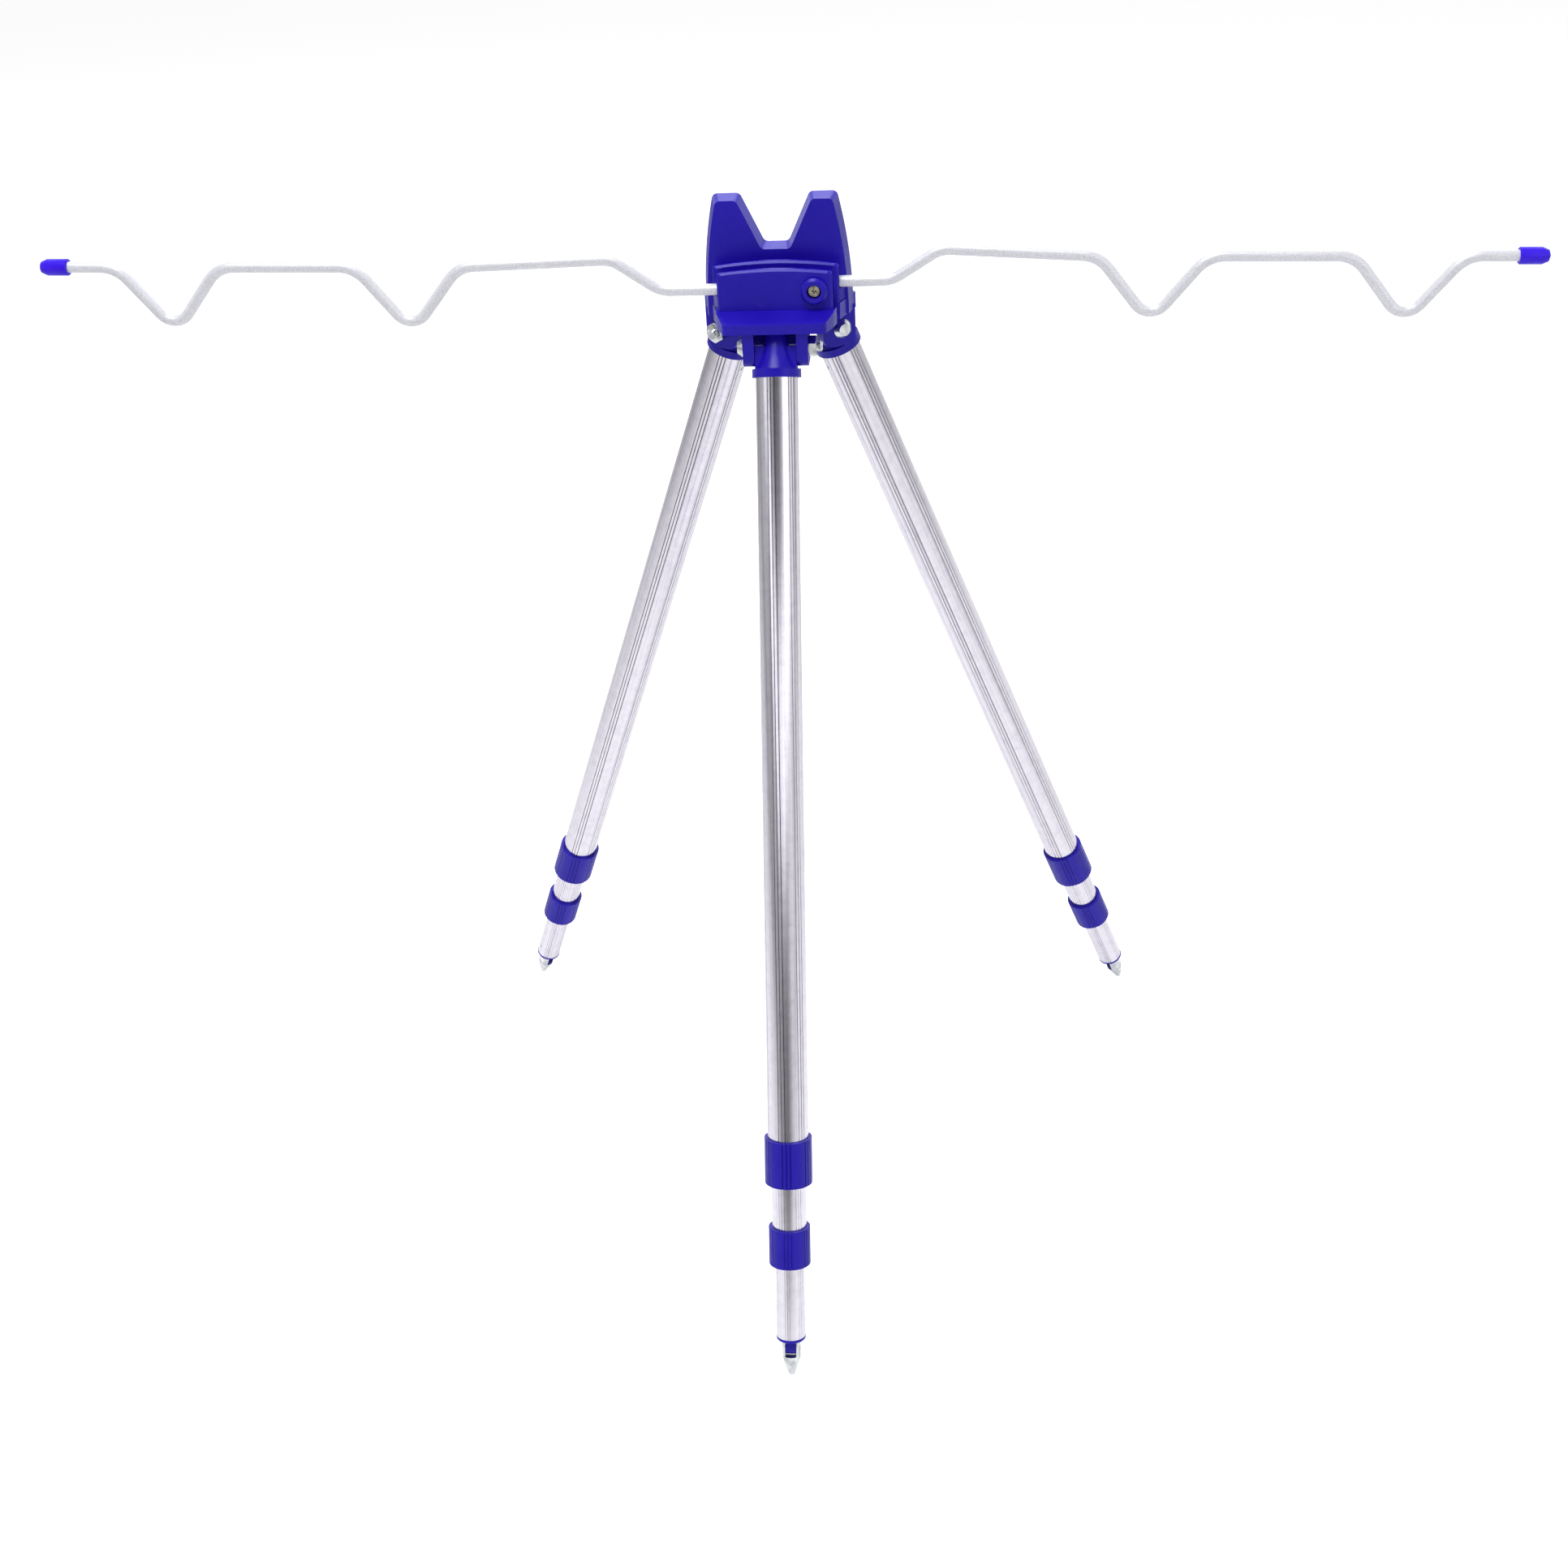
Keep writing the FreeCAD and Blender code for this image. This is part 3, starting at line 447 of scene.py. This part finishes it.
def dressHead():
    plastic = mouldedPlastic("moulded blue polypropylene", mouldedBlue)
    dressNode("head_body", plastic)
    for side in sides:
        dressNode(f"leg_cap_{side}", plastic)
        dressNode(f"end_plug_{side}", plastic)
        for level in ("upper", "lower"):
            markGrooves(dressNode(f"{level}_collar_{side}", plastic), side, grooveMarks["collar"])
    vinyl = mouldedPlastic("dipped blue vinyl", dippedBlue)
    for side in armSides:
        dressNode(f"arm_cap_{side}", vinyl)
    print("mouldings dressed")


dimples = {  # where the tubes are staked to the mouldings inside their ends
    "distance": {"upper_tube": 24.0, "lower_tube": 522.2},  # mm down the leg from its bolt
    "turn": {"upper_tube": 180.0, "lower_tube": 67.0},      # degrees around the leg
    "radius": {"upper_tube": 11.0, "lower_tube": 7.75},     # mm, of the tube
    "ball": 1.6,                                            # mm, radius of the punch
    "depth": 0.55,
}


# A tube with the dimple that holds it to the moulding inside its end.
def makeStakedTube(level, side, material):
    origin, across, down = legAxes(side)
    turn = math.radians(dimples["turn"][level])
    outward = across * math.sin(turn) - across.cross(down) * math.cos(turn)
    reach = dimples["radius"][level] + dimples["ball"] - dimples["depth"]
    middle = origin + (down * dimples["distance"][level] + outward * reach) * millimetre
    tube = copyNode(f"{level}_{side}")
    shape = bmesh.new()
    bmesh.ops.create_icosphere(shape, subdivisions=4, radius=dimples["ball"] * millimetre)
    shape.transform(Matrix.Translation(middle))
    booleanWith(tube, newMesh("dimple_ball", shape), "DIFFERENCE")
    finishNode(tube, f"{level}_{side}", material)
    markGrooves(tube, side, grooveMarks["tube"])


def dressTubes():
    for side in sides:
        aluminium = anodisedAluminium(side)
        makeStakedTube("upper_tube", side, aluminium)
        markGrooves(dressNode(f"mid_tube_{side}", aluminium), side, grooveMarks["tube"])
        makeStakedTube("lower_tube", side, aluminium)
    print("tubes dressed")


thread = {
    "major": 3.0,     # mm, the outer radius of an M6 thread
    "minor": 2.5,
    "pitch": 1.0,
    "profileShares": [("minor", 0.0), ("major", 0.44), ("major", 0.56), ("minor", 1.0)],  # of the pitch
    "tipShare": 0.8,  # of the core's radius that is left at the bolt's end
    "steps": 40,      # round each turn
}


# The bolt's tail is thinned to its core, and a real helix is wound on it.
def makeBolt(side, material):
    origin, way, _ = legAxes(side)
    bolt = copyNode(f"pivot_bolt_{side}")
    tailStart = span(f"pivot_nut_{side}", origin, way)[1]
    tailEnd = span(f"pivot_bolt_{side}", origin, way)[1]
    coreRadius = thread["minor"] * millimetre
    core = turnedSolid("bolt_core", [
        (0.0, 0.0),
        (coreRadius, 0.0),
        (coreRadius, tailEnd - thread["pitch"] * millimetre / 2),
        (thread["tipShare"] * coreRadius, tailEnd),
        (0.0, tailEnd),
    ], origin, way)
    keep = turnedSolid("bolt_keep", [
        (0.0, -2 * tailEnd),
        (2 * tailEnd, -2 * tailEnd),
        (2 * tailEnd, tailStart),
        (0.0, tailStart),
    ], origin, way)
    booleanWith(bolt, keep, "INTERSECT")
    booleanWith(bolt, core, "UNION")
    finishNode(bolt, f"pivot_bolt_{side}", material)
    wound = windThread(tailStart, tailEnd, origin, way)
    wound.name = f"bolt_thread_{side}"
    wound.data.materials.append(material)
    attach(wound, "head")


def windThread(start, end, origin, way):
    pitch = thread["pitch"] * millimetre
    shape = bmesh.new()
    corners = [shape.verts.new((thread[radius] * millimetre, 0, start + share * pitch))
               for radius, share in thread["profileShares"]]
    for pair in zip(corners, corners[1:]):
        shape.edges.new(pair)
    wound = newMesh("thread", shape)
    onlySelect(wound)
    bpy.ops.object.modifier_add(type="SCREW")
    screw = wound.modifiers[-1]
    screw.screw_offset = pitch
    screw.iterations = int((end - start) / pitch) - 1
    screw.steps = thread["steps"]
    screw.use_merge_vertices = True
    bpy.ops.object.modifier_apply(modifier=screw.name)
    wound.data.transform(standingOn(origin, way))
    bpy.ops.object.shade_smooth_by_angle(angle=math.radians(smoothing["threadSharp"]))
    return wound


nutShape = {
    "flats": 5.0,    # mm from the axis
    "corners": 5.9,
    "chamfer": 0.5,  # mm along the axis
}


# The nut's corners are turned off at both ends.
def makeNut(side, material):
    origin, way, _ = legAxes(side)
    low, high = span(f"pivot_nut_{side}", origin, way)
    flats = nutShape["flats"] * millimetre
    corners = nutShape["corners"] * millimetre
    chamfer = nutShape["chamfer"] * millimetre
    nut = copyNode(f"pivot_nut_{side}")
    cone = turnedSolid("nut_cone", [
        (0.0, low),
        (flats, low),
        (corners, low + chamfer),
        (corners, high - chamfer),
        (flats, high),
        (0.0, high),
    ], origin, way)
    booleanWith(nut, cone, "INTERSECT")
    finishNode(nut, f"pivot_nut_{side}", material)


crossRecess = {
    "reach": 1.9,   # mm from the axis
    "slot": 0.45,
    "depth": 1.3,
    "taper": 0.55,  # share of its width that the recess has at its bottom
}


# A tapered cross is sunk into the screw's head, by two cutters made from a cube with corners at 1 and -1.
def makeArmScrew(side, material):
    node = f"arm_screw_{side}"
    low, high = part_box(node)
    outward = -1 if side == "left" else 1
    faceY = low.y if side == "left" else high.y
    face = Vector(((low.x + high.x) / 2, faceY, (low.z + high.z) / 2))
    screw = copyNode(node)
    for wide, tall in (("reach", "slot"), ("slot", "reach")):
        shape = bmesh.new()
        bmesh.ops.create_cube(shape, size=2.0)
        for corner in shape.verts:
            share = crossRecess["taper"] if corner.co.y * outward < 0 else 1.0
            corner.co = Vector((corner.co.x * crossRecess[wide] * share,
                                corner.co.y * crossRecess["depth"],
                                corner.co.z * crossRecess[tall] * share)) * millimetre + face
        booleanWith(screw, newMesh("cross_cutter", shape), "DIFFERENCE")
    finishNode(screw, node, material)


def dressMetal():
    zincSteel = platedSteel("zinc plated steel", zinc)
    nickelSteel = platedSteel("nickel plated steel", nickel)
    paint = silverPaint()
    for side in sides:
        makeBolt(side, zincSteel)
        makeNut(side, zincSteel)
        for name in ("spike", "spike_pin"):
            dressNode(f"{name}_{side}", zincSteel)
    for side in armSides:
        dressNode(f"arm_{side}", paint)
        makeArmScrew(side, nickelSteel)
    print("metal dressed")


cameraSpot = {
    "place": (88.65, -913.01, 830.71),  # mm
    "turn": (63.54, 2.632, 4.265),      # degrees
    "lens": 43.77,                      # mm
    "sensor": 36.0,                     # mm
    "shiftUp": -0.1118,
    "nearest": 20.0,                    # mm
}


def makeCamera():
    bpy.ops.object.camera_add(location=[v * millimetre for v in cameraSpot["place"]],
                              rotation=[math.radians(v) for v in cameraSpot["turn"]])
    camera = bpy.context.active_object
    camera.data.sensor_width = cameraSpot["sensor"]
    camera.data.lens = cameraSpot["lens"]
    camera.data.shift_y = cameraSpot["shiftUp"]
    camera.data.clip_start = cameraSpot["nearest"] * millimetre
    camera.data.dof.use_dof = False
    bpy.context.scene.camera = camera


studio = {
    "floor": "#fcfcfc",
    "floorHalf": 6.0,           # m
    "floorGlow": 0.62,          # what the paper adds to its own light where it is seen
    "floorMirror": 0.28,        # and where it is mirrored
    "floorPool": (0.25, 0.8),   # m from the middle where the mirrored glow starts to fade and is gone
    "floorRight": (0.3, 0.9),   # m to the right where it starts again and is whole
    "skyForObject": 0.33,
    "skySeen": 0.956,           # as bright as the far end of the floor, so that no horizon shows
    "lamps": {                  # place in m, size in m, watts
        "key": ((-0.4, -0.75, 2.55), 1.2, 42.0),
        "fill": ((1.5, -1.1, 1.2), 1.2, 3.0),
        "back": ((0.1, 1.5, 2.2), 1.4, 16.0),
    },
    "aim": (0.0, 0.0, 0.45),    # m
}

# What shiny pieces mirror, by how far a direction points along an axis: 0 is all the way to
# the left, front or bottom and 1 to the right, back or top. The brightest of the three is seen.
mirrored = {
    "X": [(0.0, 0.5), (0.25, 0.4), (0.4, 0.18), (0.58, 0.13), (0.68, 0.35), (0.8, 0.8), (1.0, 0.95)],
    "Y": [(0.6, 0.0), (0.8, 1.0)],
    "Z": [(0.57, 0.0), (0.59, 1.0), (0.64, 1.0), (0.66, 0.0), (0.75, 0.0), (0.9, 0.3)],
    "strengths": {"X": 1.12, "Y": 1.5, "Z": 1.7},
}


# Combines two values, given as (node, output) pairs.
def combine(tree, operation, first, second):
    return addNode(tree, "ShaderNodeMath", links={0: first, 1: second}, operation=operation)


# Multiplies a value, given as a (node, output) pair, by a number.
def scaled(tree, value, times):
    return addNode(tree, "ShaderNodeMath", {1: times}, {0: value}, operation="MULTIPLY")


# The paper glows for the camera all over, and in mirrors only near the object and to the right.
def paperGlow(tree):
    path = addNode(tree, "ShaderNodeLightPath")
    place = addNode(tree, "ShaderNodeTexCoord")
    distance = addNode(tree, "ShaderNodeVectorMath", links={0: (place, "Object")}, operation="LENGTH")
    parts = addNode(tree, "ShaderNodeSeparateXYZ", links={"Vector": (place, "Object")})
    pool = addNode(tree, "ShaderNodeMapRange",
                   {"From Min": studio["floorPool"][0], "From Max": studio["floorPool"][1],
                    "To Min": studio["floorMirror"], "To Max": 0.0}, {"Value": (distance, "Value")})
    right = addNode(tree, "ShaderNodeMapRange",
                    {"From Min": studio["floorRight"][0], "From Max": studio["floorRight"][1],
                     "To Max": studio["floorMirror"]}, {"Value": (parts, "X")})
    both = combine(tree, "MAXIMUM", (pool, "Result"), (right, "Result"))
    mirrors = combine(tree, "MULTIPLY", (path, "Is Glossy Ray"), (both, "Value"))
    seen = scaled(tree, (path, "Is Camera Ray"), studio["floorGlow"])
    return combine(tree, "ADD", (seen, "Value"), (mirrors, "Value"))


def makeStage():
    bpy.ops.mesh.primitive_plane_add(size=2 * studio["floorHalf"], location=(0, 0, 0))
    floor = bpy.context.active_object
    floor.name = "floor"
    material, tree, output = newMaterial("white paper sweep")
    matte = addNode(tree, "ShaderNodeBsdfDiffuse", {"Color": linear(studio["floor"])})
    glow = addNode(tree, "ShaderNodeEmission", links={"Strength": (paperGlow(tree), "Value")})
    paper = addNode(tree, "ShaderNodeAddShader", links={0: (matte, "BSDF"), 1: (glow, "Emission")})
    tree.links.new(paper.outputs["Shader"], output.inputs["Surface"])
    floor.data.materials.append(material)


def makeSky():
    world = bpy.data.worlds.new("white studio")
    bpy.context.scene.world = world
    world.use_nodes = True
    tree = world.node_tree
    tree.nodes.clear()
    output = tree.nodes.new("ShaderNodeOutputWorld")
    way = addNode(tree, "ShaderNodeTexCoord")
    parts = addNode(tree, "ShaderNodeSeparateXYZ", links={"Vector": (way, "Generated")})
    mirror = addNode(tree, "ShaderNodeValue")
    mirror.outputs["Value"].default_value = 0.0
    for axis, strength in mirrored["strengths"].items():
        share = addNode(tree, "ShaderNodeMapRange", {"From Min": -1.0, "From Max": 1.0},
                        {"Value": (parts, axis)})
        band = colourRamp(tree, (share, "Result"), [(place, grey(level)) for place, level in mirrored[axis]])
        lit = scaled(tree, (band, "Color"), strength)
        mirror = combine(tree, "MAXIMUM", (mirror, "Value"), (lit, "Value"))
    path = addNode(tree, "ShaderNodeLightPath")
    shaded = addNode(tree, "ShaderNodeMix", {"A": studio["skyForObject"]},
                     {"Factor": (path, "Is Glossy Ray"), "B": (mirror, "Value")}, data_type="FLOAT")
    level = addNode(tree, "ShaderNodeMix", {"B": studio["skySeen"]},
                    {"Factor": (path, "Is Camera Ray"), "A": (shaded, "Result")}, data_type="FLOAT")
    sky = addNode(tree, "ShaderNodeBackground", {"Color": grey(1.0)}, {"Strength": (level, "Result")})
    tree.links.new(sky.outputs["Background"], output.inputs["Surface"])


def makeLamps():
    aim = Vector(studio["aim"])
    for name, (place, size, power) in studio["lamps"].items():
        facing = (aim - Vector(place)).to_track_quat("-Z", "Y").to_euler()
        bpy.ops.object.light_add(type="AREA", location=place, rotation=facing)
        lamp = bpy.context.active_object
        lamp.name = f"{name}_lamp"
        lamp.data.size = size
        lamp.data.energy = power
    bpy.context.scene.view_settings.view_transform = "Standard"
    print("stage and light made")


makeCamera()
makeStage()
makeSky()
makeLamps()
dressHead()
dressTubes()
dressMetal()
